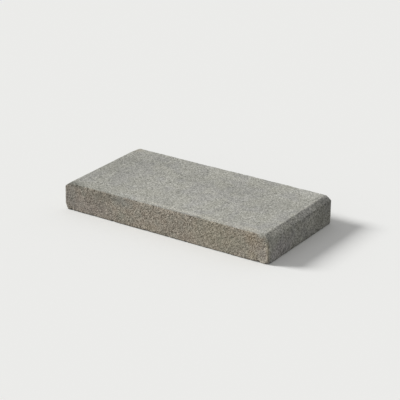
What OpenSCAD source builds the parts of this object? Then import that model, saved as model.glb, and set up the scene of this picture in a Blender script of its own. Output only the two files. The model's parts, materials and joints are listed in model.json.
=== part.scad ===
// Pillar cap: a flat slab of dry-cast concrete that closes the top of a pillar. It is moulded in
// one piece, standing on one long face, so one section runs right across its width. It lies here
// as it is laid: the underside on Z = 0, the length along X, and a chamfer over each short end.
// The two long faces are the open-textured ones, and their arrises wear rounder than those that
// the mould makes.

/* [Slab] */
// Length over both ends
slab_length = 600; // [400:5:900]
// Width between the two long faces
slab_width = 300; // [200:5:450]
// Thickness from the underside to the top face
slab_height = 74; // [50:1:120]

/* [End chamfers] */
// How far each chamfer runs in over the top face
chamfer_run = 15; // [8:0.5:40]
// How far each chamfer drops down the end face
chamfer_drop = 11; // [5:0.5:20]

/* [Arrises] */
// Radius worn onto the arrises along the two long faces
long_arris_r = 3; // [1:0.5:8]
// Radius of the two arrises of each chamfer
chamfer_arris_r = 1.5; // [0.5:0.5:4]
// Radius of the arris under each end
foot_arris_r = 2.5; // [0.5:0.5:6]
// Radius worn onto the four upright corners
corner_r = 2.5; // [1:0.5:8]

/* [Broken corner, left foot of the front face] */
// How far the break runs along the slab's length
left_break_length = 8; // [4:1:30]
// How far the break runs across the end
left_break_width = 16; // [4:1:30]
// How far the break rises from the underside
left_break_height = 18; // [4:1:40]

/* [Broken corner, right foot of the front face] */
// How far the break runs along the slab's length
right_break_length = 12; // [4:1:18]
// How far the break runs across the end
right_break_width = 19; // [4:1:30]
// How far the break rises from the underside
right_break_height = 8; // [4:1:40]

/* [Flake off the foot of the front face] */
// Distance from the right end to the flake's deep end
flake_from_end = 24; // [20:1:80]
// Length of the flake, from its deep end to where it runs out
flake_length = 25; // [10:1:60]
// Height of the flake at its deep end
flake_height = 5.5; // [3:0.5:12]
// How far the flake reaches in under the slab at its deep end
flake_depth = 9; // [3:0.5:20]

/* [Hidden] */
arc_sides = 48; // sides of a full circle, where an arris is drawn as a mesh
half_length = slab_length / 2;
half_width = slab_width / 2;

// Half the angle of corner b, between its neighbours a and c.
function half_angle(a, b, c) = acos((a - b) * (c - b) / norm(a - b) / norm(c - b)) / 2;

// The point at a distance from b on the way to a.
function toward(b, a, distance) = b + (a - b) / norm(a - b) * distance;

// The two points where an arc of radius r round corner b meets the sides from a and to c.
function arc_ends(a, b, c, r) =
    let (setback = r / tan(half_angle(a, b, c)))
    [toward(b, a, setback), toward(b, c, setback)];

// The centre of that arc, on the line that halves the corner.
function arc_centre(a, b, c, r) =
    let (ends = arc_ends(a, b, c, r))
    toward(b, (ends[0] + ends[1]) / 2, r / sin(half_angle(a, b, c)));

// A convex outline with every corner rounded to its own radius.
module rounded_outline(corners, radii) {
    count = len(corners);
    // Each corner between its two neighbours, with its radius.
    bends = [for (i = [0 : count - 1])
        [corners[(i + count - 1) % count], corners[i], corners[(i + 1) % count], radii[i]]];
    polygon([for (bend = bends) each arc_ends(bend[0], bend[1], bend[2], bend[3])]);
    for (bend = bends)
        translate(arc_centre(bend[0], bend[1], bend[2], bend[3]))
            circle(r = bend[3], $fn = arc_sides);
}

// The moulded section, seen from the front: both ends with their chamfers.
module end_to_end_section() {
    chamfer_foot = slab_height - chamfer_drop;
    chamfer_head = half_length - chamfer_run;
    rounded_outline(
        [[-half_length, 0], [half_length, 0],
         [half_length, chamfer_foot], [chamfer_head, slab_height],
         [-chamfer_head, slab_height], [-half_length, chamfer_foot]],
        [foot_arris_r, foot_arris_r,
         chamfer_arris_r, chamfer_arris_r,
         chamfer_arris_r, chamfer_arris_r]);
}

// The section across the width, with the worn arrises of the long faces.
module front_to_back_section() {
    rounded_outline(
        [[-half_width, 0], [half_width, 0], [half_width, slab_height], [-half_width, slab_height]],
        [long_arris_r, long_arris_r, long_arris_r, long_arris_r]);
}

// The outline from above, with the worn upright corners.
module plan() {
    rounded_outline(
        [[-half_length, -half_width], [half_length, -half_width],
         [half_length, half_width], [-half_length, half_width]],
        [corner_r, corner_r, corner_r, corner_r]);
}

// The slab before it was knocked about: the part that its two sections and its plan share.
module whole_slab() {
    intersection() {
        translate([0, half_width, 0]) rotate([90, 0, 0])
            linear_extrude(height = slab_width) end_to_end_section();
        translate([-half_length, 0, 0]) rotate([90, 0, 90])
            linear_extrude(height = slab_length) front_to_back_section();
        linear_extrude(height = slab_height) plan();
    }
}

// What breaks away from a corner at the origin, of a slab that lies towards +X, +Y and +Z. The
// break is flat, and it meets the three edges of the corner at the three lengths given.
module broken_corner(lengths) {
    normal = [1 / lengths.x, 1 / lengths.y, 1 / lengths.z];
    reach = 2 * max(lengths);
    translate(normal / (normal * normal))
        rotate([0, acos(normal.z / norm(normal)), atan2(normal.y, normal.x)])
            translate([-reach, -reach, -reach])
                cube([2 * reach, 2 * reach, reach]);
}

// The flake, with its deep end at the origin. It runs out along -X.
module flake() {
    reach = 2 * max(flake_length, flake_depth, flake_height);
    intersection() {
        mirror([1, 0, 0]) broken_corner([flake_length, flake_depth, flake_height]);
        translate([-reach, -reach, -reach]) cube([reach, 2 * reach, 2 * reach]);
    }
}

module pillar_cap() {
    color([0.63, 0.63, 0.60])
        difference() {
            whole_slab();
            translate([-half_length, -half_width, 0])
                broken_corner([left_break_length, left_break_width, left_break_height]);
            translate([half_length, -half_width, 0]) mirror([1, 0, 0])
                broken_corner([right_break_length, right_break_width, right_break_height]);
            translate([half_length - flake_from_end, -half_width, 0]) flake();
        }
}

pillar_cap();
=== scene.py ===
"""A dry-cast concrete pillar cap, worn and chipped, on a plain studio floor.

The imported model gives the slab's place and outer size. The slab is modelled again here with the
relief that the bare solid lacks: grain, pits, arrises worn out of line and small breaks.
"""

import json
import logging
import math
import random
from collections.abc import Iterable, Iterator
from dataclasses import dataclass, field
from enum import Enum

import bpy
import numpy as np
from mathutils import Matrix, Vector

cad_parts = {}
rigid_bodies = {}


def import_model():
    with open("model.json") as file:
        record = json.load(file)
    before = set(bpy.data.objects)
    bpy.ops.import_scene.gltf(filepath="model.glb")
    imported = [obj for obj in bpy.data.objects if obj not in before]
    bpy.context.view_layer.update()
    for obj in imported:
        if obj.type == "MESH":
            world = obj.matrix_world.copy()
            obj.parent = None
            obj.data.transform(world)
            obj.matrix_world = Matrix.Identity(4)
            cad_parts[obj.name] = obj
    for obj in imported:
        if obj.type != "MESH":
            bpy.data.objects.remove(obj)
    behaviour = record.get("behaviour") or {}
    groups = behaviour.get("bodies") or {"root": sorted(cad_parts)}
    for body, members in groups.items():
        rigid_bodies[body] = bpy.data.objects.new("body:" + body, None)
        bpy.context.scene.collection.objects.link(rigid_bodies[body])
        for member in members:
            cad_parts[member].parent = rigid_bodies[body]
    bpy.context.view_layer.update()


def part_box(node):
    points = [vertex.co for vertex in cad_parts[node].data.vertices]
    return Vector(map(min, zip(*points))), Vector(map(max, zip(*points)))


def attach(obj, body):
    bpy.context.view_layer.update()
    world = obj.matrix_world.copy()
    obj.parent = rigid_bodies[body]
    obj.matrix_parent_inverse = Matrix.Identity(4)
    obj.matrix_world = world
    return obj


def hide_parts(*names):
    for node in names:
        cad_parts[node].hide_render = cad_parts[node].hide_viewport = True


LOG = logging.getLogger("pillar_cap")

MM = 0.001
NODE = "pillar_cap"
PIECE = "cast_slab"
BODY = "root"
SEED = 7

# Sockets of the colour Mix node, which has several of one name.
MIX_FACTOR = 0
MIX_A = 6
MIX_B = 7
MIX_RESULT = 2

# Names of the mesh attributes that the material reads: how far a point faces out of a long face
# or a break, how coarse an end is there, and how deep it lies in a pit.
OPEN_FACE = "faces_sideways"
COARSE_END = "coarse_end"
PITTED = "lies_in_pit"

# Where each kind of face fades in: the value with nothing of it yet, and the one with all of it.
BREAK_DEPTH = (1.1 * MM, 2.0 * MM)  # How deep a point lies inside the unbroken block.
OPEN_FACING = (0.55, 0.95)  # How far it faces out of a long face.
END_FACING = (0.30, 0.55)  # How far it faces out of an end.
DOWN_FACING = (0.90, 0.99)  # How far it faces the ground.
ON_GROUND = (3 * MM, 0.0)  # How high it lies.
BY_ARRIS = (10 * MM, 1 * MM)  # How far it lies from a long arris.

# The same for a tint that shows where the clouds are thin, and for one where they are thick.
THIN_CLOUDS = (0.50, 0.36)
THICK_CLOUDS = (0.52, 0.66)

Tree = bpy.types.NodeTree
Socket = bpy.types.NodeSocket
Colour = tuple[float, float, float, float]
# How much of a layer of colour shows, and the colour.
Layer = tuple[Socket, Socket | Colour]


# --- Helpers ------------------------------------------------------------------


def srgb(code: str) -> Colour:
    """Turns an sRGB hex colour into the linear colour that shaders take.

    Args:
        code: Six hex digits with a leading hash, such as "#a2a19a".

    Returns:
        Linear red, green and blue, with an alpha of 1.
    """

    def linear(byte: int) -> float:
        """One channel, by the sRGB curve."""
        value = byte / 255
        return value / 12.92 if value <= 0.04045 else ((value + 0.055) / 1.055) ** 2.4

    red, green, blue = (linear(int(code[i : i + 2], 16)) for i in (1, 3, 5))
    return red, green, blue, 1.0


def add_node(
    tree: Tree,
    kind: str,
    inputs: dict[str | int, object] | None = None,
    **settings: object,
) -> bpy.types.Node:
    """Adds a node with its settings, its input values and its links.

    Args:
        tree: Node tree that gets the node.
        kind: Blender's name of the node type.
        inputs: Value or source socket for each input, by the input's name or number.
        **settings: Properties of the node itself.

    Returns:
        The new node.
    """
    node = tree.nodes.new(kind)
    for name, value in settings.items():
        setattr(node, name, value)
    for name, value in (inputs or {}).items():
        if isinstance(value, Socket):
            tree.links.new(value, node.inputs[name])
        else:
            node.inputs[name].default_value = value
    return node


def deselect_all() -> None:
    """Leaves no object selected and none active."""
    for obj in bpy.context.scene.objects:
        obj.select_set(False)
    bpy.context.view_layer.objects.active = None


def make_active(obj: bpy.types.Object) -> None:
    """Selects one object alone and makes it active.

    Args:
        obj: The object.
    """
    deselect_all()
    obj.select_set(True)
    bpy.context.view_layer.objects.active = obj


def add_block(centre: Vector, size: Vector) -> bpy.types.Object:
    """Adds a plain block, with its place in its mesh.

    Args:
        centre: Its middle.
        size: Its sides along X, Y and Z.

    Returns:
        The new object, at the origin.
    """
    deselect_all()
    bpy.ops.mesh.primitive_cube_add(size=1.0, location=centre, scale=size)
    bpy.ops.object.transform_apply(location=True, rotation=True, scale=True)
    return bpy.context.object


def saw_off(obj: bpy.types.Object, point: Vector, normal: Vector) -> None:
    """Cuts away what lies beyond a plane, on the normal's side, and closes the cut.

    Args:
        obj: Object to cut.
        point: A point on the plane.
        normal: The plane's normal, towards the waste.
    """
    make_active(obj)
    bpy.ops.object.mode_set(mode="EDIT")
    bpy.ops.mesh.select_all(action="SELECT")
    bpy.ops.mesh.bisect(
        plane_co=point, plane_no=normal.normalized(), use_fill=True, clear_outer=True
    )
    bpy.ops.object.mode_set(mode="OBJECT")


def smoothstep(low: float, high: float, values: np.ndarray) -> np.ndarray:
    """Rises smoothly from 0 at low to 1 at high, or falls where low is above high."""
    t = np.clip((values - low) / (high - low), 0.0, 1.0)
    return t * t * (3 - 2 * t)


# --- The finish ---------------------------------------------------------------


@dataclass(frozen=True)
class Mottle:
    """Cloudy blotches of one size.

    Attributes:
        size: Width of a blotch.
        share: How far the blotches move what they are added to.
        detail: How many finer layers each blotch has.
        finer: How strong each finer layer is beside the one before it.
    """

    size: float
    share: float
    detail: float = 0.0
    finer: float = 0.6

    def added_to(self, tree: Tree, place: Socket, value: Socket | float) -> Socket:
        """Adds the blotches to a value.

        Args:
            tree: Node tree of the material.
            place: Coordinates in metres.
            value: The value without the blotches.

        Returns:
            The socket with the mottled value.
        """
        blotches = add_node(
            tree,
            "ShaderNodeTexNoise",
            {
                "Vector": place,
                "Scale": 1 / self.size,
                "Detail": self.detail,
                "Roughness": self.finer,
            },
        )
        return add_node(
            tree,
            "ShaderNodeMath",
            {0: blotches.outputs["Fac"], 1: self.share, 2: value},
            operation="MULTIPLY_ADD",
        ).outputs[0]


@dataclass(frozen=True)
class Grains:
    """Sand that shows grain by grain.

    Attributes:
        size: Width of one grain.
        share: How far the grains' own shades move the tone.
        hollow_shade: How far painted shade in the hollows between the grains darkens the tone.
    """

    size: float
    share: float
    hollow_shade: float

    def added_to(self, tree: Tree, place: Socket, tone: Socket) -> tuple[Socket, Socket, Socket]:
        """Adds each grain's own shade to a tone, and painted shade in the hollows between the
        grains.

        Args:
            tree: Node tree of the material.
            place: Coordinates in metres.
            tone: Tone without the grains.

        Returns:
            The socket with the tone, on average no darker or paler than it was, and two sockets
            with a random number from 0 to 1 for each grain.
        """
        cells = add_node(
            tree, "ShaderNodeTexVoronoi", {"Vector": place, "Scale": 1 / self.size}
        ).outputs
        each = add_node(tree, "ShaderNodeSeparateColor", {"Color": cells["Color"]}).outputs
        # Painted shade: each grain darkens towards its border, into the hollows round it.
        for value, share in ((each["Red"], self.share), (cells["Distance"], -self.hollow_shade)):
            tone = add_node(
                tree, "ShaderNodeMath", {0: value, 1: share, 2: tone}, operation="MULTIPLY_ADD"
            ).outputs[0]
        # Takes back what the two add on average.
        added = (self.share - self.hollow_shade) / 2
        level = add_node(
            tree, "ShaderNodeMath", {0: tone, 1: added}, operation="SUBTRACT"
        ).outputs[0]
        return level, each["Green"], each["Blue"]


@dataclass(frozen=True)
class CloudyEdge:
    """A border over which a colour fades in, broken up by clouds.

    Attributes:
        clouds: The clouds.
        start: Value at which the colour starts to show, with the clouds added.
        full: Value at which it shows as much as it will.
        strength: How much of it shows then.
    """

    clouds: Mottle
    start: float
    full: float
    strength: float = 1.0

    def share(self, tree: Tree, place: Socket, value: Socket | float) -> Socket:
        """Works out how much of the colour shows.

        Args:
            tree: Node tree of the material.
            place: Coordinates in metres.
            value: What the border follows.

        Returns:
            The socket with the share.
        """
        return add_node(
            tree,
            "ShaderNodeMapRange",
            {
                "Value": self.clouds.added_to(tree, place, value),
                "From Min": self.start,
                "From Max": self.full,
                "To Max": self.strength,
            },
            interpolation_type="SMOOTHSTEP",
        ).outputs["Result"]


@dataclass(frozen=True)
class Drift:
    """The drift of a colour to two other tints, in patches.

    Attributes:
        patch: Width of one patch.
        tints: The tint where the clouds are thin, and the one where they are thick.
        strength: How much of a tint shows in the middle of its patches.
    """

    patch: float
    tints: tuple[str, str]
    strength: float = 0.22

    def layers(self, tree: Tree, place: Socket) -> Iterator[Layer]:
        """Gives each tint as a layer.

        Args:
            tree: Node tree of the material.
            place: Coordinates in metres.

        Yields:
            The two layers.
        """
        clouds = Mottle(self.patch, share=1.0, detail=1)
        for tint, (start, full) in zip(self.tints, (THIN_CLOUDS, THICK_CLOUDS)):
            edge = CloudyEdge(clouds, start, full, self.strength)
            yield edge.share(tree, place, 0.0), srgb(tint)


@dataclass(frozen=True)
class StainOrPaintedLight:
    """A soft-edged patch of another colour: weathering, or in a few places painted shade or
    highlight.

    Attributes:
        place: Its middle, in millimetres.
        reach: How far it runs along X, Y and Z, in millimetres.
        tint: Its colour.
        strength: How much of the colour shows in its middle.
    """

    place: tuple[float, float, float]
    reach: tuple[float, float, float]
    tint: str
    strength: float

    def layer(self, tree: Tree, place: Socket, specks: Socket) -> Layer:
        """Gives the patch as a layer: most of it in its middle, with a cloudy border.

        Args:
            tree: Node tree of the material.
            place: Coordinates in metres.
            specks: How dark or pale each speck of the surface is, about 1 on average.

        Returns:
            The layer.
        """
        # As a texture's mapping, this gives the place from the patch's middle, in its reaches.
        from_middle = add_node(
            tree,
            "ShaderNodeMapping",
            {
                "Vector": place,
                "Location": Vector(self.place) * MM,
                "Scale": Vector(self.reach) * MM,
            },
            vector_type="TEXTURE",
        ).outputs["Vector"]
        away = add_node(
            tree, "ShaderNodeVectorMath", {0: from_middle}, operation="LENGTH"
        ).outputs["Value"]
        clouds = Mottle(min(self.reach) * MM, share=0.9, detail=2)
        edge = CloudyEdge(clouds, start=1.6, full=0.4, strength=self.strength)
        tint = add_node(
            tree,
            "ShaderNodeVectorMath",
            {0: srgb(self.tint)[:3], "Scale": specks},
            operation="SCALE",
        ).outputs[0]
        return edge.share(tree, place, away), tint


@dataclass(frozen=True)
class DryCastConcrete:
    """Semi-dry concrete, rammed into a mould and turned out at once.

    Where it met the mould, the cement paste closes over the sand, and the eye sees a dull,
    finely mottled grey. Where it was struck off, the sand stands open: brown and pale grains
    with hollows between them, which the colour paints dark, as shade.
    """

    # Paste, from its darkest to its palest tone, and the tints that it drifts to.
    paste: tuple[str, str, str] = ("#6f6f69", "#a3a299", "#cecdc5")
    paste_drift: Drift = Drift(50 * MM, ("#98979a", "#a09f92"))
    # Open sand, from the painted shade in its hollows to the palest grains, and the tints that it
    # drifts to.
    sand: tuple[str, str, str] = ("#443e37", "#9d9486", "#dad1c1")
    sand_drift: Drift = Drift(24 * MM, ("#8f9186", "#a09181"))
    # Two tints that single grains of sand have, and how much of them.
    grain_tints: tuple[str, str] = ("#a08c74", "#8f8f86")
    grain_tint_share: float = 0.2
    # The one sand, faint under the paste and plain where it stands open. It is drawn at the
    # coarse end of a concreting sand, because its finer grains would be too small to show.
    paste_grains: Grains = Grains(1.6 * MM, 0.70, 0.35)
    sand_grains: Grains = Grains(1.6 * MM, 1.3, 0.65)
    # Broad patches, where the mix was wetter or drier, down to clusters of a few grains.
    paste_mottles: tuple[Mottle, ...] = (
        Mottle(80 * MM, 0.22, 1),
        Mottle(26 * MM, 0.12),
        Mottle(3.6 * MM, 1.9, 2),
    )
    end_mottles: tuple[Mottle, ...] = (
        Mottle(80 * MM, 0.30, 1),
        Mottle(26 * MM, 0.16),
        Mottle(11 * MM, 0.16),
        Mottle(4.2 * MM, 3.0, 2),
    )
    sand_mottles: tuple[Mottle, ...] = (
        Mottle(60 * MM, 0.15, 1),
        Mottle(18 * MM, 0.10),
        Mottle(1.6 * MM, 0.95, 1),
    )
    # The ragged border along the arris, by how far a point faces out of a long face.
    open_edge: CloudyEdge = CloudyEdge(Mottle(7 * MM, 0.8, 1), start=0.90, full=1.25)
    # A patch, weathered or of painted light, goes over the grain and leaves its specks: this
    # dark and this pale.
    speck_range: tuple[float, float] = (0.5, 1.5)
    # Painted shade in the pits, and how much of it.
    pit_shade: str = "#4a4943"
    pit_shade_share: float = 0.6
    # Concrete is matt, with hardly a sheen.
    roughness: float = 0.92
    specular: float = 0.3
    # The sand's own grain, finer than the mesh can carry.
    fine_grain: Mottle = Mottle(1.8 * MM, 1.0, 2)
    fine_grain_height: float = 0.4 * MM
    fine_grain_strength: float = 0.5
    # Patches of weathering, and a few of painted shade and highlight.
    stains_and_painted_light: tuple[StainOrPaintedLight, ...] = ()

    def material(self) -> bpy.types.Material:
        """Builds the material.

        Returns:
            The finished material, which reads Object coordinates and the slab's attributes.
        """
        material = bpy.data.materials.new("dry_cast_concrete")
        material.use_nodes = True
        tree = material.node_tree
        tree.nodes.clear()
        place = add_node(tree, "ShaderNodeTexCoord").outputs["Object"]
        fine_grain = add_node(
            tree,
            "ShaderNodeBump",
            {
                "Height": self.fine_grain.added_to(tree, place, 0.0),
                "Strength": self.fine_grain_strength,
                "Distance": self.fine_grain_height,
            },
        )
        surface = add_node(
            tree,
            "ShaderNodeBsdfPrincipled",
            {
                "Base Color": self._colour(tree, place),
                "Roughness": self.roughness,
                "Specular IOR Level": self.specular,
                "Normal": fine_grain.outputs["Normal"],
            },
        )
        add_node(tree, "ShaderNodeOutputMaterial", {"Surface": surface.outputs["BSDF"]})
        return material

    def _colour(self, tree: Tree, place: Socket) -> Socket:
        """Colours the surface: the paste, over it the open sand, the patches of weathering and of
        painted light, and painted shade in the pits.

        Args:
            tree: Node tree of the material.
            place: Coordinates in metres.

        Returns:
            The socket with the colour.
        """
        tone = self._paste_tone(tree, place)
        dark, pale = self.speck_range
        specks = add_node(
            tree, "ShaderNodeMapRange", {"Value": tone, "To Min": dark, "To Max": pale}
        ).outputs["Result"]
        facing = add_node(tree, "ShaderNodeAttribute", attribute_name=OPEN_FACE).outputs["Fac"]
        pitted = add_node(tree, "ShaderNodeAttribute", attribute_name=PITTED).outputs["Fac"]
        # Painted shade, deepest on the floor of each pit.
        pit_shaded = add_node(
            tree, "ShaderNodeMath", {0: pitted, 1: self.pit_shade_share}, operation="MULTIPLY"
        ).outputs[0]
        layers = [
            *self.paste_drift.layers(tree, place),
            (self.open_edge.share(tree, place, facing), self._sand_colour(tree, place)),
            *(tinted_patch.layer(tree, place, specks) for tinted_patch in self.stains_and_painted_light),
            (pit_shaded, srgb(self.pit_shade)),
        ]
        return self._layered(tree, tone, self.paste, layers)

    def _paste_tone(self, tree: Tree, place: Socket) -> Socket:
        """Gives the moulded faces' tone, with a stronger mottling on the ends.

        Args:
            tree: Node tree of the material.
            place: Coordinates in metres.

        Returns:
            The socket with the tone.
        """
        coarse = add_node(tree, "ShaderNodeAttribute", attribute_name=COARSE_END).outputs["Fac"]
        tone = add_node(
            tree,
            "ShaderNodeMapRange",
            {
                "Value": coarse,
                "To Min": self._mottled(tree, place, self.paste_mottles),
                "To Max": self._mottled(tree, place, self.end_mottles),
            },
        ).outputs["Result"]
        return self.paste_grains.added_to(tree, place, tone)[0]

    def _sand_colour(self, tree: Tree, place: Socket) -> Socket:
        """Colours the open faces: one tint for each grain, and painted shade in the hollows round
        them.

        Args:
            tree: Node tree of the material.
            place: Coordinates in metres.

        Returns:
            The socket with the colour.
        """
        tone = self._mottled(tree, place, self.sand_mottles)
        tone, *draws = self.sand_grains.added_to(tree, place, tone)
        layers = []
        for draw, tint in zip(draws, self.grain_tints):
            share = add_node(
                tree, "ShaderNodeMath", {0: draw, 1: self.grain_tint_share}, operation="MULTIPLY"
            ).outputs[0]
            layers.append((share, srgb(tint)))
        layers.extend(self.sand_drift.layers(tree, place))
        return self._layered(tree, tone, self.sand, layers)

    def _mottled(self, tree: Tree, place: Socket, mottles: tuple[Mottle, ...]) -> Socket:
        """Adds up mottling into one tone, about 0.5 on average.

        Args:
            tree: Node tree of the material.
            place: Coordinates in metres.
            mottles: The mottling, scale by scale.

        Returns:
            The socket with the tone.
        """
        tone: Socket | float = 0.5 - 0.5 * sum(mottle.share for mottle in mottles)
        for mottle in mottles:
            tone = mottle.added_to(tree, place, tone)
        return tone

    def _layered(
        self, tree: Tree, tone: Socket, shades: tuple[str, str, str], layers: Iterable[Layer]
    ) -> Socket:
        """Turns a tone into a colour, and lays other colours over it.

        Args:
            tree: Node tree of the material.
            tone: Tone of the ground, from 0 to 1.
            shades: Dark, middle and pale shade of the ground.
            layers: What lies over the ground, from the lowest layer up.

        Returns:
            The socket with the colour that shows.
        """
        dark, middle, pale = (srgb(shade) for shade in shades)
        ground = add_node(tree, "ShaderNodeValToRGB", {"Fac": tone})
        ground.color_ramp.elements[0].color = dark
        ground.color_ramp.elements[1].color = pale
        ground.color_ramp.elements.new(0.5).color = middle
        colour = ground.outputs["Color"]
        for share, layer in layers:
            colour = add_node(
                tree,
                "ShaderNodeMix",
                {MIX_FACTOR: share, MIX_A: colour, MIX_B: layer},
                data_type="RGBA",
            ).outputs[MIX_RESULT]
        return colour


# --- The slab's form ----------------------------------------------------------


class Arris(Enum):
    """The four long arrises, as (side of the width, top or foot)."""

    FRONT_TOP = (-1, 1)
    FRONT_FOOT = (-1, 0)
    BACK_TOP = (1, 1)
    BACK_FOOT = (1, 0)


class Side(Enum):
    """The two ends, by their direction along X."""

    LEFT = -1
    RIGHT = 1


@dataclass(frozen=True)
class BrokenCorner:
    """A corner of the slab, broken or worn off along a plane.

    Attributes:
        side: The end that it came off.
        length: How far the break runs along the slab.
        width: How far it runs across the end.
        height: How far it reaches up from the foot, or down from the top.
        top: Whether it is a top corner.
        back: Whether it is a corner of the back face.
    """

    side: Side
    length: float
    width: float
    height: float
    top: bool = False
    back: bool = False


@dataclass(frozen=True)
class Flake:
    """A flake off the foot of the front face, deepest at its right end.

    Attributes:
        from_end: Distance from the right end to the flake's deep end.
        length: Length, from the deep end to where it runs out.
        height: Height at the deep end.
        depth: How far it reaches in under the slab at its deep end.
    """

    from_end: float
    length: float
    height: float
    depth: float


@dataclass(frozen=True)
class Chip:
    """A small piece knocked off a long arris.

    Attributes:
        arris: The arris that it came off.
        place: Distance from the middle of the slab along +X.
        length: Length of the scar along the arris.
        depth: How far the scar goes in from the arris.
    """

    arris: Arris
    place: float
    length: float
    depth: float


@dataclass(frozen=True)
class Pit:
    """A small hole where the paste didn't close.

    Attributes:
        place: Its middle, on the surface.
        radius: Its radius on the surface.
    """

    place: Vector
    radius: float


@dataclass(frozen=True)
class Relief:
    """One layer of relief, pushed along the surface's own normals.

    Attributes:
        name: What the layer is on the real slab.
        size: Size of one hump or grain.
        height: Depth from the highest to the lowest point.
        level: Texture value that leaves the surface where it is.
        group: Vertex group that holds the layer's strength, point by point.
        octaves: How many finer layers the texture adds.
        contrast: Contrast of the texture.
    """

    name: str
    size: float
    height: float
    level: float
    group: str
    octaves: int = 0
    contrast: float = 1.0


RELIEF = (
    Relief("faces out of true", 120 * MM, 0.8 * MM, 0.58, "free_face"),
    Relief("wandering arris", 45 * MM, 1.3 * MM, 0.60, "long_arris", octaves=1),
    Relief("crumbled arris", 7 * MM, 1.0 * MM, 0.60, "long_arris", octaves=1),
    Relief("open grain", 3.6 * MM, 1.15 * MM, 0.62, "open_face", octaves=1, contrast=1.5),
    Relief("moulded grain", 5.0 * MM, 0.5 * MM, 0.60, "moulded_face", octaves=1, contrast=1.4),
)


@dataclass
class CastSlab:
    """The slab, from the plain block to the rough and worn casting.

    Attributes:
        length: Length over both ends.
        width: Width between the two long faces.
        height: Thickness.
        corners: Corners that are broken or worn off.
        flakes: Flakes off the foot of the front face.
        chips: Small pieces knocked off the long arrises.
        pits: Small holes.
        chamfer_run: How far the chamfer over each end runs in over the top.
        chamfer_drop: How far it drops down the end.
        long_arris: Radius of the long arrises, before they wander and crumble.
        upright_arris: Radius of the upright arrises.
        foot_arris: Radius of the arris under each end.
        chamfer_arris: Radius of the two arrises of each chamfer.
        arris_steps: Faces across each rounded arris.
        left_coarseness: How coarse the left end is, where the right one is 1.
        net: Width of one face of the even net.
        pit_depth: Depth of each pit.
        slab: The object that is being made.
    """

    length: float
    width: float
    height: float
    corners: tuple[BrokenCorner, ...] = ()
    flakes: tuple[Flake, ...] = ()
    chips: tuple[Chip, ...] = ()
    pits: tuple[Pit, ...] = ()
    chamfer_run: float = 15 * MM
    chamfer_drop: float = 11 * MM
    long_arris: float = 2 * MM
    upright_arris: float = 2 * MM
    foot_arris: float = 2.5 * MM
    chamfer_arris: float = 0.8 * MM
    arris_steps: int = 4
    left_coarseness: float = 0.2
    net: float = 1.95 * MM
    pit_depth: float = 1.1 * MM
    slab: bpy.types.Object = field(init=False)

    def build(self) -> bpy.types.Object:
        """Makes the slab's mesh.

        Returns:
            The finished object, at the origin, with its place in its mesh.
        """
        middle = Vector((0, 0, self.height / 2))
        self.slab = add_block(middle, Vector((self.length, self.width, self.height)))
        self.slab.name = self.slab.data.name = PIECE
        self._saw_chamfers()
        self._round_arrises()
        for corner in self.corners:
            self._break_corner(corner)
        self._knock_off([self._flake(flake) for flake in self.flakes])
        self._knock_off([self._scar(chip) for chip in self.chips])
        self._mesh_evenly()
        self._clear_underside()
        self._weigh_faces()
        self._roughen()
        self._bed()
        make_active(self.slab)
        bpy.ops.object.shade_smooth()
        return self.slab

    def dress(self, finish: DryCastConcrete) -> None:
        """Gives the slab its finish."""
        self.slab.data.materials.clear()
        self.slab.data.materials.append(finish.material())

    def _saw_chamfers(self) -> None:
        """Cuts the chamfer over each end."""
        for side in Side:
            foot = Vector((side.value * self.length / 2, 0, self.height - self.chamfer_drop))
            saw_off(self.slab, foot, Vector((side.value * self.chamfer_drop, 0, self.chamfer_run)))

    def _round_arrises(self) -> None:
        """Rounds every arris with a bevel as wide as its kind wears."""
        mesh = self.slab.data
        weights = mesh.attributes.new("bevel_weight_edge", "FLOAT", "EDGE")
        widest = max(self.long_arris, self.upright_arris, self.foot_arris, self.chamfer_arris)
        for edge in mesh.edges:
            start, end = (mesh.vertices[i].co for i in edge.vertices)
            runs_lengthwise, _, runs_upright = (
                abs(part) > 0.5 for part in (end - start).normalized()
            )
            if runs_lengthwise:
                radius = self.long_arris
            elif runs_upright:
                radius = self.upright_arris
            elif (start.z + end.z) / 2 > self.height / 2:
                radius = self.chamfer_arris
            else:
                radius = self.foot_arris
            weights.data[edge.index].value = radius / widest
        bevel = self.slab.modifiers.new("arrises", "BEVEL")
        bevel.limit_method = "WEIGHT"
        bevel.width = widest
        bevel.segments = self.arris_steps
        self._apply(bevel)

    def _break_corner(self, corner: BrokenCorner) -> None:
        """Breaks off one corner.

        Args:
            corner: Which corner, and how much of it.
        """
        end = corner.side.value
        face = 1 if corner.back else -1
        rise = 1 if corner.top else -1
        tip = Vector((end * self.length / 2, face * self.width / 2, self.height * corner.top))
        normal = Vector((end / corner.length, face / corner.width, rise / corner.height))
        saw_off(self.slab, tip - Vector((end * corner.length, 0, 0)), normal)

    def _flake(self, flake: Flake) -> bpy.types.Object:
        """Makes the piece that a flake takes away: a block sawn to a wedge.

        Args:
            flake: The flake's place and size.

        Returns:
            The wedge, which runs out to the left.
        """
        tip = Vector((self.length / 2 - flake.from_end, -self.width / 2, 0))
        reach = 2 * flake.length
        # The block's right face is the flake's deep end.
        wedge = add_block(tip + Vector((-reach / 2, 0, 0)), Vector((reach, reach, reach)))
        normal = Vector((-1 / flake.length, 1 / flake.depth, 1 / flake.height))
        saw_off(wedge, tip - Vector((flake.length, 0, 0)), normal)
        return wedge

    def _scar(self, chip: Chip) -> bpy.types.Object:
        """Makes the ball that cuts a scar as long and as deep as a chip.

        Args:
            chip: The chip's place and size.

        Returns:
            The ball.
        """
        side, top = chip.arris.value
        outwards = Vector((0, side, 1 if top else -1)).normalized()
        edge = Vector((chip.place, side * self.width / 2, top * self.height))
        # A rounded arris stands back from the sharp edge by this much.
        setback = self.long_arris * (math.sqrt(2) - 1)
        radius = (chip.length**2 / 4 + chip.depth**2) / (2 * chip.depth)
        centre = edge + outwards * (radius - chip.depth - setback)
        bpy.ops.mesh.primitive_ico_sphere_add(subdivisions=3, radius=radius, location=centre)
        return bpy.context.object

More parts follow.
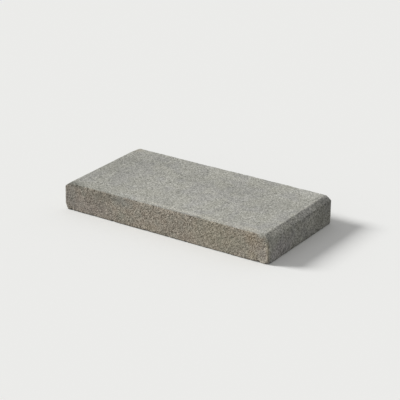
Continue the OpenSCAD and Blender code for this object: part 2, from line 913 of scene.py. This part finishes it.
    def _knock_off(self, tools: list[bpy.types.Object]) -> None:
        """Takes the shape of each tool out of the slab.

        Args:
            tools: Closed objects, which are used up.
        """
        if not tools:
            return
        deselect_all()
        for tool in tools:
            tool.select_set(True)
        bpy.context.view_layer.objects.active = tools[0]
        bpy.ops.object.join()
        tool = bpy.context.object
        bpy.ops.object.transform_apply(location=True, rotation=True, scale=True)
        cut = self.slab.modifiers.new("knocked off", "BOOLEAN")
        cut.operation = "DIFFERENCE"
        cut.solver = "EXACT"
        cut.use_self = True
        cut.object = tool
        self._apply(cut)
        bpy.data.objects.remove(tool, do_unlink=True)

    def _mesh_evenly(self) -> None:
        """Turns the block into an even net of small faces, fine enough to carry the grain."""
        remesh = self.slab.modifiers.new("net", "REMESH")
        remesh.mode = "SMOOTH"
        # The net is a cube of 2 to the depth cells, and the slab fills this share of its side.
        remesh.octree_depth = 9
        remesh.scale = self.length / self.net / 2**remesh.octree_depth
        remesh.use_remove_disconnected = False
        self._apply(remesh)

    def _clear_underside(self) -> None:
        """Merges the faces of the flat underside into one, short of its worn edges."""
        make_active(self.slab)
        mesh = self.slab.data
        border = 12 * MM
        straight_down = -0.999
        mesh.polygons.foreach_set("select", np.zeros(len(mesh.polygons), dtype=bool))
        for face in mesh.polygons:
            middle = face.center
            face.select = (
                face.normal.z < straight_down
                and middle.z < border / 2
                and abs(middle.x) < self.length / 2 - border
                and abs(middle.y) < self.width / 2 - border
            )
        bpy.ops.object.mode_set(mode="EDIT")
        bpy.ops.mesh.select_mode(type="FACE")
        bpy.ops.mesh.dissolve_faces()
        bpy.ops.object.mode_set(mode="OBJECT")

    def _weigh_faces(self) -> None:
        """Gives each point its share in the relief and the colour of each kind of face."""
        points, normals = self._points()
        to_side = self.width / 2 - np.abs(points[:, 1])
        to_level = np.minimum(points[:, 2], self.height - points[:, 2])
        # Breaks are open like the long faces, and lie deeper in than any rounded arris.
        broken = smoothstep(*BREAK_DEPTH, self._inside(points))
        facing = np.maximum(np.abs(normals[:, 1]), broken)
        open_face = smoothstep(*OPEN_FACING, facing)
        # What lies on the ground stays flat.
        lying = smoothstep(*DOWN_FACING, -normals[:, 2]) * smoothstep(*ON_GROUND, points[:, 2])
        on_arris = smoothstep(*BY_ARRIS, np.maximum(to_side, to_level))
        coarse = np.where(points[:, 0] > 0, 1, self.left_coarseness)
        pitted = self._pitted(points)
        self._group("open_face", open_face)
        self._group("moulded_face", (1 - open_face) * (1 - lying))
        self._group("long_arris", on_arris)
        self._group("free_face", 1 - lying)
        self._group("pits", pitted)
        self._attribute(OPEN_FACE, facing)
        self._attribute(COARSE_END, coarse * smoothstep(*END_FACING, np.abs(normals[:, 0])))
        self._attribute(PITTED, pitted)

    def _inside(self, points: np.ndarray) -> np.ndarray:
        """Measures how far points lie inside the block as it was before it broke.

        Args:
            points: Places, one row each.

        Returns:
            The distance of each point to the nearest of the block's faces.
        """
        to_end = self.length / 2 - np.abs(points[:, 0])
        to_side = self.width / 2 - np.abs(points[:, 1])
        to_top = self.height - points[:, 2]
        to_chamfer = (
            to_end * self.chamfer_drop
            + to_top * self.chamfer_run
            - self.chamfer_run * self.chamfer_drop
        ) / math.hypot(self.chamfer_run, self.chamfer_drop)
        return np.minimum.reduce([to_end, to_side, points[:, 2], to_top, to_chamfer])

    def _pitted(self, points: np.ndarray) -> np.ndarray:
        """Measures how deep points lie in the pits.

        Args:
            points: Places, one row each.

        Returns:
            The depth of each point, from 0 outside the pits to 1 on the floor of one.
        """
        # A pit's floor is this wide beside its mouth.
        floor_share = 0.25
        depth = np.zeros(len(points))
        for pit in self.pits:
            away = np.linalg.norm(points - np.array(pit.place), axis=1)
            depth = np.maximum(depth, smoothstep(pit.radius, floor_share * pit.radius, away))
        return depth

    def _roughen(self) -> None:
        """Lays the relief on, the broad layers first, and sinks the pits."""
        for layer in RELIEF:
            texture = bpy.data.textures.new(layer.name, "CLOUDS")
            texture.noise_scale = layer.size
            texture.noise_depth = layer.octaves
            texture.contrast = layer.contrast
            push = self._push(layer.name, layer.group, layer.height, layer.level)
            push.texture = texture
            push.texture_coords = "LOCAL"
            self._apply(push)
        # With no texture a push works from 1, so this level sinks each pit by its full depth.
        self._apply(self._push("pits", "pits", self.pit_depth, level=2.0))

    def _push(self, name: str, group: str, height: float, level: float) -> bpy.types.Modifier:
        """Adds a Displace modifier that works along the normals.

        Args:
            name: Its name.
            group: Vertex group that it works on.
            height: Depth from the highest to the lowest point.
            level: Value that leaves the surface where it is.

        Returns:
            The modifier, not yet applied.
        """
        push = self.slab.modifiers.new(name, "DISPLACE")
        push.direction = "NORMAL"
        push.strength = height
        push.mid_level = level
        push.vertex_group = group
        return push

    def _bed(self) -> None:
        """Lifts back what the relief pushed below the underside's plane."""
        points, _ = self._points()
        points[:, 2] = np.maximum(points[:, 2], 0)
        self.slab.data.vertices.foreach_set("co", points.ravel())
        self.slab.data.update()

    def _apply(self, modifier: bpy.types.Modifier) -> None:
        """Makes a modifier part of the slab's mesh."""
        make_active(self.slab)
        bpy.ops.object.modifier_apply(modifier=modifier.name)

    def _points(self) -> tuple[np.ndarray, np.ndarray]:
        """Reads the places and normals of the slab's points.

        Returns:
            Two arrays with one row of x, y and z for each point.
        """
        vertices = self.slab.data.vertices
        points = np.empty(len(vertices) * 3, dtype=np.float32)
        normals = np.empty_like(points)
        vertices.foreach_get("co", points)
        vertices.foreach_get("normal", normals)
        return points.reshape(-1, 3), normals.reshape(-1, 3)

    def _group(self, name: str, weights: np.ndarray) -> None:
        """Writes a vertex group, in steps too fine to show.

        Args:
            name: Name of the group.
            weights: Weight of each point, from 0 to 1.
        """
        steps = 32
        group = self.slab.vertex_groups.new(name=name)
        levels = np.rint(np.clip(weights, 0, 1) * steps).astype(int)
        for level in range(1, steps + 1):
            chosen = np.flatnonzero(levels == level).tolist()
            if chosen:
                group.add(chosen, level / steps, "REPLACE")

    def _attribute(self, name: str, values: np.ndarray) -> None:
        """Writes a value for each point, for the material to read."""
        attribute = self.slab.data.attributes.new(name, "FLOAT", "POINT")
        attribute.data.foreach_set("value", values.astype(np.float32))


# --- The studio ---------------------------------------------------------------


@dataclass
class Studio:
    """The floor, the light and the camera.

    Attributes:
        azimuth: Degrees from the front face's middle round to the camera, to the right.
        elevation: Degrees from the floor up to the camera.
        roll: Degrees that the camera is turned about its line of sight.
        distance: Distance from the aim to the camera.
        aim: Point that the camera looks at.
        lens: Focal length in millimetres.
        key_from: Direction from the slab to the lamp.
        key_strength: Strength of the lamp.
        key_angle: Degrees that the lamp takes up in the sky, which softens its shadows.
        sky: Strength of the sky's light.
        floor_seen: The floor's colour, where it is seen.
        floor_lit: The duller colour by which it throws light up at the slab.
        backdrop: The sky's colour, where it is seen: the floor's tone in this light, so that no
            horizon shows from a low angle.
        floor_width: Side of the floor.
    """

    azimuth: float = 33.34
    elevation: float = 22.69
    roll: float = 0.54
    distance: float = 3.971
    aim: tuple[float, float, float] = (-0.0040, 0.0193, 0.0356)
    lens: float = 142.3
    key_from: tuple[float, float, float] = (-0.81, -0.32, 0.55)
    key_strength: float = 3.1
    key_angle: float = 20.0
    sky: float = 0.43
    floor_seen: str = "#f0f0ee"
    floor_lit: str = "#9a9a98"
    backdrop: str = "#ebebe9"
    floor_width: float = 24.0

    def build(self) -> None:
        """Sets up everything that isn't the slab."""
        bpy.context.scene.view_settings.view_transform = "Standard"
        self._floor()
        self._world()
        self._key()
        self._camera()

    def _blend(self, tree: Tree, unseen: bpy.types.Node, seen: bpy.types.Node) -> Socket:
        """Shows one shader where the studio is seen, and another to the light that it throws.

        Args:
            tree: Node tree of the floor's material or of the world.
            unseen: Shader for the light that falls on the slab.
            seen: Shader for what is seen, straight, in a gloss or through glass.

        Returns:
            The socket with the shader.
        """
        path = add_node(tree, "ShaderNodeLightPath").outputs
        factor = path["Is Camera Ray"]
        for ray in ("Is Glossy Ray", "Is Transmission Ray"):
            factor = add_node(
                tree, "ShaderNodeMath", {0: factor, 1: path[ray]}, operation="MAXIMUM"
            ).outputs[0]
        return add_node(
            tree, "ShaderNodeMixShader", {0: factor, 1: unseen.outputs[0], 2: seen.outputs[0]}
        ).outputs[0]

    def _floor(self) -> None:
        """A pale floor that shows pale but throws little light up."""
        deselect_all()
        bpy.ops.mesh.primitive_plane_add(size=self.floor_width, location=(0, 0, 0))
        floor = bpy.context.object
        floor.name = "floor"
        material = bpy.data.materials.new("pale_floor")
        material.use_nodes = True
        tree = material.node_tree
        tree.nodes.clear()
        dull = add_node(tree, "ShaderNodeBsdfDiffuse", {"Color": srgb(self.floor_lit)})
        pale = add_node(tree, "ShaderNodeBsdfDiffuse", {"Color": srgb(self.floor_seen)})
        add_node(tree, "ShaderNodeOutputMaterial", {"Surface": self._blend(tree, dull, pale)})
        floor.data.materials.append(material)

    def _world(self) -> None:
        """An even, soft sky, as pale as the floor where it is seen."""
        world = bpy.data.worlds.new("studio")
        bpy.context.scene.world = world
        world.use_nodes = True
        tree = world.node_tree
        tree.nodes.clear()
        light = add_node(
            tree, "ShaderNodeBackground", {"Color": (1, 1, 1, 1), "Strength": self.sky}
        )
        backdrop = add_node(
            tree, "ShaderNodeBackground", {"Color": srgb(self.backdrop), "Strength": 1.0}
        )
        add_node(tree, "ShaderNodeOutputWorld", {"Surface": self._blend(tree, light, backdrop)})

    def _key(self) -> None:
        """One soft lamp, low on the left and a little to the front."""
        lamp = bpy.data.lights.new("key", "SUN")
        lamp.energy = self.key_strength
        lamp.angle = math.radians(self.key_angle)
        key = bpy.data.objects.new("key", lamp)
        key.rotation_euler = Vector(self.key_from).to_track_quat("Z", "Y").to_euler()
        bpy.context.scene.collection.objects.link(key)

    def _camera(self) -> None:
        """The camera, on a long lens, looking down at the slab's right front corner."""
        azimuth, elevation, roll = (
            math.radians(angle) for angle in (self.azimuth, self.elevation, self.roll)
        )
        back = Vector(
            (
                math.sin(azimuth) * math.cos(elevation),
                -math.cos(azimuth) * math.cos(elevation),
                math.sin(elevation),
            )
        )
        right = Vector((math.cos(azimuth), math.sin(azimuth), 0))
        up = back.cross(right)
        right, up = (
            math.cos(roll) * right + math.sin(roll) * up,
            math.cos(roll) * up - math.sin(roll) * right,
        )
        data = bpy.data.cameras.new("camera")
        data.lens = self.lens
        camera = bpy.data.objects.new("camera", data)
        turned = Matrix((right, up, back)).transposed().to_4x4()
        camera.matrix_world = (
            Matrix.Translation(Vector(self.aim) + back * self.distance) @ turned
        )
        bpy.context.scene.collection.objects.link(camera)
        bpy.context.scene.camera = camera


# --- What happened to this slab, and the light and shade painted on it --------


@dataclass(frozen=True)
class ArrisWear:
    """Small chips scattered along every long arris.

    Attributes:
        count: Chips on each arris.
        clear_end: How far the chips stay from the ends.
        lengths: Shortest and longest chip, in millimetres.
        depths: Shallowest and deepest chip, in millimetres.
    """

    count: int = 9
    clear_end: float = 20 * MM
    lengths: tuple[float, float] = (4, 9)
    depths: tuple[float, float] = (0.7, 1.4)

    def chips(self, length: float, rng: random.Random) -> Iterator[Chip]:
        """Draws the chips.

        Args:
            length: Length of the slab.
            rng: Draws the places and sizes.

        Yields:
            The chips, arris by arris.
        """
        reach = length / 2 - self.clear_end
        for arris in Arris:
            for _ in range(self.count):
                place = rng.uniform(-reach, reach)
                yield Chip(
                    arris, place, rng.uniform(*self.lengths) * MM, rng.uniform(*self.depths) * MM
                )


@dataclass(frozen=True)
class PitField:
    """A stretch of a face that is pitted.

    Attributes:
        low: Lowest corner of the stretch, in millimetres.
        high: Highest corner. A pit lies anywhere between the two.
        count: How many pits it has.
        radii: Smallest and largest radius of a pit, in millimetres.
    """

    low: tuple[float, float, float]
    high: tuple[float, float, float]
    count: int
    radii: tuple[float, float] = (1.6, 3.0)

    def pits(self, rng: random.Random) -> Iterator[Pit]:
        """Draws the pits.

        Args:
            rng: Draws the places and radii.

        Yields:
            The pits.
        """
        for _ in range(self.count):
            place = Vector([rng.uniform(a, b) for a, b in zip(self.low, self.high)])
            yield Pit(place * MM, rng.uniform(*self.radii) * MM)


CORNERS = (
    BrokenCorner(Side.LEFT, 8 * MM, 16 * MM, 18 * MM),
    BrokenCorner(Side.RIGHT, 12 * MM, 19 * MM, 8 * MM),
    BrokenCorner(Side.RIGHT, 28 * MM, 10.5 * MM, 12.5 * MM, top=True),
    BrokenCorner(Side.LEFT, 20 * MM, 150 * MM, 15 * MM, top=True, back=True),
)

FLAKES = (Flake(from_end=24 * MM, length=25 * MM, height=5.5 * MM, depth=9 * MM),)

# The chips that stand out along the foot of the front face.
FOOT_CHIPS = tuple(
    Chip(Arris.FRONT_FOOT, place * MM, length * MM, depth * MM)
    for place, length, depth in (
        (-280, 9, 3.5),
        (-152, 9, 2.3),
        (-51, 12, 2.6),
        (14, 14, 2.8),
        (67, 9, 2.2),
    )
)

PIT_FIELDS = (
    # Top face, all over, two larger pits, and more pits near the right end.
    PitField((-280, -140, 74), (280, 140, 74), 70),
    PitField((-214, -109, 74), (-214, -109, 74), 1, (4.5, 4.5)),
    PitField((-77, -4, 74), (-77, -4, 74), 1, (4.0, 4.0)),
    PitField((200, -50, 74), (240, -20, 74), 3),
    PitField((220, 90, 74), (275, 140, 74), 6),
    # Just under the worn arris of the front face.
    PitField((-285, -150, 68), (270, -149, 72), 34, (2.0, 3.6)),
    # Both ends, all over.
    PitField((300, -145, 4), (300, 145, 62), 22),
    PitField((-300, -145, 4), (-300, 145, 62), 22),
    # Along the foot of the right chamfer, most of all towards the back, and up the front corner.
    PitField((300, -140, 60), (300, 0, 63), 12, (1.5, 2.3)),
    PitField((300, 0, 59), (300, 144, 63), 28, (1.7, 2.9)),
    PitField((300, -149, 8), (300, -147, 56), 24, (1.4, 2.2)),
    PitField((300, 128, 55), (300, 146, 64), 5, (2.0, 3.4)),
)

# Patches of weathering, and a few of painted shade and highlight, each marked below.
STAINS_AND_PAINTED_LIGHT = (
    # Front face: bluish and dull at the left end, an olive film along its upper left, pinkish
    # below, then warmer and yellower towards the right, with two pale patches at the foot.
    StainOrPaintedLight((-292, -150, 42), (56, 40, 56), "#737270", 0.55),
    StainOrPaintedLight((-266, -147, 73), (46, 18, 11), "#6c6e66", 0.60),
    StainOrPaintedLight((-190, -153, 62), (76, 12, 20), "#66685f", 0.45),
    StainOrPaintedLight((-296, -150, 68), (30, 30, 16), "#6b6860", 0.35),
    StainOrPaintedLight((-215, -150, 20), (100, 40, 34), "#8d8480", 0.40),
    StainOrPaintedLight((-120, -150, 62), (45, 30, 26), "#8e9492", 0.30),
    StainOrPaintedLight((-122, -150, 24), (36, 30, 26), "#8d9183", 0.25),
    StainOrPaintedLight((-190, -150, 36), (46, 20, 16), "#7c746a", 0.20),
    StainOrPaintedLight((-38, -150, 14), (30, 20, 12), "#b0a68f", 0.30),
    StainOrPaintedLight((44, -150, 36), (44, 20, 26), "#766f63", 0.25),
    StainOrPaintedLight((160, -150, 40), (110, 40, 60), "#9a967d", 0.30),
    StainOrPaintedLight((252, -150, 62), (34, 30, 26), "#a08a68", 0.25),
    StainOrPaintedLight((254, -150, 16), (22, 20, 12), "#c9bfa4", 0.25),
    # The front corner at the right end: pale paste over its worn top, painted shade beside the
    # chamfer, where the worn corner turns from the light, and a pale edge and foot.
    StainOrPaintedLight((278, -149, 71), (15, 12, 9), "#aaa99f", 0.90),
    # Painted shade: the worn corner beside the chamfer, as dark as the chamfer that faces from the
    # light.
    StainOrPaintedLight((294, -148, 65), (12, 9, 12), "#7b7a72", 0.90),
    StainOrPaintedLight((298, -149, 28), (7, 10, 40), "#c9bfa4", 0.45),
    StainOrPaintedLight((284, -148, 3), (16, 20, 14), "#d6cfbf", 0.60),
    # Top: dull at the left end, in a band along the back half and beside the right chamfer, paler
    # in the front half and at the right back corner, brownish at the left back corner.
    StainOrPaintedLight((-250, 30, 74), (110, 190, 30), "#7e7e77", 0.30),
    StainOrPaintedLight((-215, 45, 74), (120, 85, 30), "#7e7e7a", 0.16),
    StainOrPaintedLight((-150, -90, 74), (60, 90, 30), "#85857e", 0.14),
    StainOrPaintedLight((40, 55, 74), (230, 45, 30), "#85857e", 0.25),
    StainOrPaintedLight((-70, 100, 74), (150, 28, 30), "#85857e", 0.24),
    StainOrPaintedLight((218, 15, 74), (110, 55, 30), "#848481", 0.26),
    StainOrPaintedLight((277, 55, 74), (10, 80, 10), "#85857e", 0.45),
    StainOrPaintedLight((40, -85, 74), (95, 60, 30), "#c9c8c2", 0.13),
    StainOrPaintedLight((-95, -35, 74), (60, 70, 30), "#c9c8c2", 0.11),
    StainOrPaintedLight((232, 134, 74), (62, 38, 30), "#c9c8c2", 0.38),
    StainOrPaintedLight((-285, 142, 74), (28, 22, 20), "#a89a86", 0.30),
    # The worn arris over the front is a little darker, and the top is pale in a strip behind it.
    StainOrPaintedLight((0, -150, 74), (330, 4, 4), "#74726c", 0.40),
    StainOrPaintedLight((-195, -146, 75), (60, 7, 6), "#85857e", 0.25),
    StainOrPaintedLight((-30, -139, 75), (60, 8, 6), "#d4d0c3", 0.35),
    StainOrPaintedLight((75, -139, 75), (110, 9, 6), "#d4d0c3", 0.38),
    StainOrPaintedLight((75, -148, 75), (90, 4, 4), "#74716b", 0.35),
    StainOrPaintedLight((215, -138, 75), (80, 13, 6), "#d4d0c3", 0.22),
    # Right end: the chamfer pale along its worn upper arris, with a painted highlight there, and
    # towards the front. Below it, pale low at the front, painted warm shade in the middle, dark
    # towards the back and at the foot.
    StainOrPaintedLight((292, -90, 69), (20, 70, 12), "#bdbab0", 0.35),
    StainOrPaintedLight((292, 40, 69), (14, 130, 9), "#c9c8c2", 0.16),
    # Painted highlight, with pale wear, along the arris of the top over the chamfer.
    StainOrPaintedLight((282, 60, 75), (5, 95, 4), "#d4d0c3", 0.35),
    StainOrPaintedLight((300, -92, 22), (40, 84, 36), "#b7afb3", 0.36),
    # Painted shade: a dull, warm tint over the middle of the end, for the light that reaches it in
    # shade.
    StainOrPaintedLight((300, 20, 45), (40, 150, 40), "#8f8a84", 0.15),
    StainOrPaintedLight((300, 140, 50), (40, 90, 60), "#4f4f49", 0.35),
    StainOrPaintedLight((300, 20, 0), (40, 170, 16), "#5e5e57", 0.25),
)


def main() -> None:
    """Builds the studio and the slab, in order."""
    logging.basicConfig(level=logging.INFO, format="%(message)s")
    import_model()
    low, high = (Vector(corner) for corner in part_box(NODE))
    size = high - low
    Studio().build()
    LOG.info("studio: floor, sky, key lamp and camera")

    rng = random.Random(SEED)
    cast = CastSlab(
        *size,
        corners=CORNERS,
        flakes=FLAKES,
        chips=(*FOOT_CHIPS, *ArrisWear().chips(size.x, rng)),
        pits=tuple(pit for stretch in PIT_FIELDS for pit in stretch.pits(rng)),
    )
    slab = cast.build()
    cast.dress(DryCastConcrete(stains_and_painted_light=STAINS_AND_PAINTED_LIGHT))
    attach(slab, BODY)
    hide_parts(NODE)
    triangles = sum(len(polygon.vertices) - 2 for polygon in slab.data.polygons)
    LOG.info("%s: %d triangles", slab.name, triangles)


if __name__ == "__main__":
    main()
